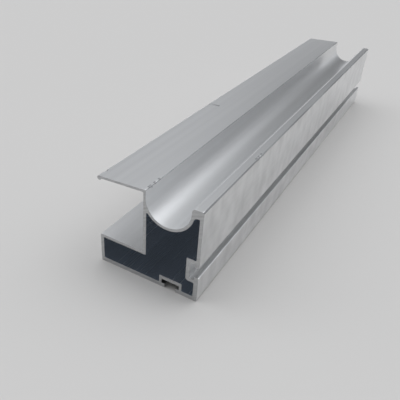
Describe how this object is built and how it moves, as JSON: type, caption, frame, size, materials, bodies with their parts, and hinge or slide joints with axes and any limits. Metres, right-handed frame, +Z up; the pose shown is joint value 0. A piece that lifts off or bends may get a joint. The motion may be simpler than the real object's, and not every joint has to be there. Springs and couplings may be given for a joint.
{
  "type": "aluminium handle-stile extrusion",
  "caption": "Cut length of hollow extruded aluminium stile with a board grip, a round finger scoop and pile slots for a sliding cupboard door.",
  "frame": {"origin": "middle of the bar's bounding box, on the face that it stands on", "axes": "+Z up, +Y along the bar, +X from the board grip towards the pull edge"},
  "size_m": [0.0312, 0.178, 0.0288],
  "materials": {
    "mill_aluminium": "satin mill finish with fine die lines along the bar and sawn ends"
  },
  "bodies": {
    "root": {"handle_profile": "mill_aluminium"}
  },
  "joints": []
}
